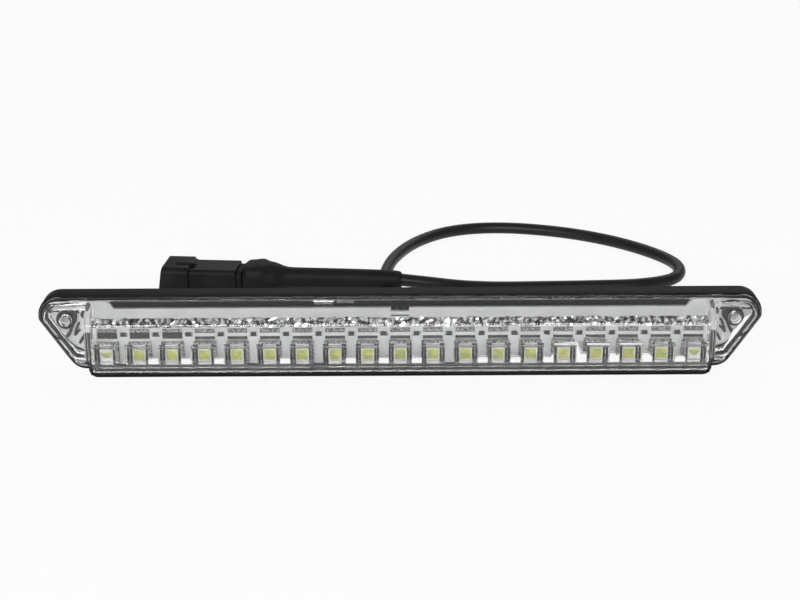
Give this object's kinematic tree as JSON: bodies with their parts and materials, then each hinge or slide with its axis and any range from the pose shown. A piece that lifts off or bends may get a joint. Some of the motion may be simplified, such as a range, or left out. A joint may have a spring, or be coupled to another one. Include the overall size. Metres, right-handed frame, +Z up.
{
  "type": "led interior light",
  "caption": "Slim LED interior light bar: clear lens with an optic over each LED, black screw-on tray with pointed ears, and a rear lead with a sealed two-way plug.",
  "frame": {"origin": "on the standing surface, under the middle of the lamp's length and depth", "axes": "+X along the lamp, +Y towards the panel that it is screwed to, +Z up across the lamp"},
  "size_m": [0.28, 0.1995, 0.034],
  "materials": {
    "black_housing": "fine moulded grain",
    "seal_rubber": "soft satin",
    "clear_lens": "polished clear",
    "white_board": "solder mask",
    "led_body": "satin",
    "phosphor": "satin",
    "chip_black": "satin",
    "can_metal": "satin",
    "screw_steel": "plated",
    "grommet_rubber": "satin",
    "supply_insulation": "satin",
    "return_insulation": "satin",
    "cable_sheath": "satin",
    "boot_rubber": "satin",
    "connector_plastic": "fine moulded grain",
    "contact_tin": "tin plated",
    "wedge_plastic": "satin"
  },
  "bodies": {
    "root": {"base_housing": "black_housing", "lens_gasket": "seal_rubber", "lens_cover": "clear_lens", "circuit_board": "white_board", "led_phosphor": "phosphor", "board_resistors": "chip_black", "driver_chip": "chip_black", "smoothing_capacitor": "can_metal", "input_diode": "chip_black", "board_screw_left": "screw_steel", "board_screw_right": "screw_steel", "cable_grommet": "grommet_rubber", "supply_wire": "supply_insulation", "return_wire": "return_insulation", "cable": "cable_sheath", "connector_boot": "boot_rubber", "connector_seal": "seal_rubber", "connector_housing": "connector_plastic", "contact_left": "contact_tin", "contact_right": "contact_tin", "terminal_wedge": "wedge_plastic", "led_01": "led_body", "led_02": "led_body", "led_03": "led_body", "led_04": "led_body", "led_05": "led_body", "led_06": "led_body", "led_07": "led_body", "led_08": "led_body", "led_09": "led_body", "led_10": "led_body", "led_11": "led_body", "led_12": "led_body", "led_13": "led_body", "led_14": "led_body", "led_15": "led_body", "led_16": "led_body", "led_17": "led_body", "led_18": "led_body", "led_19": "led_body"}
  },
  "joints": []
}
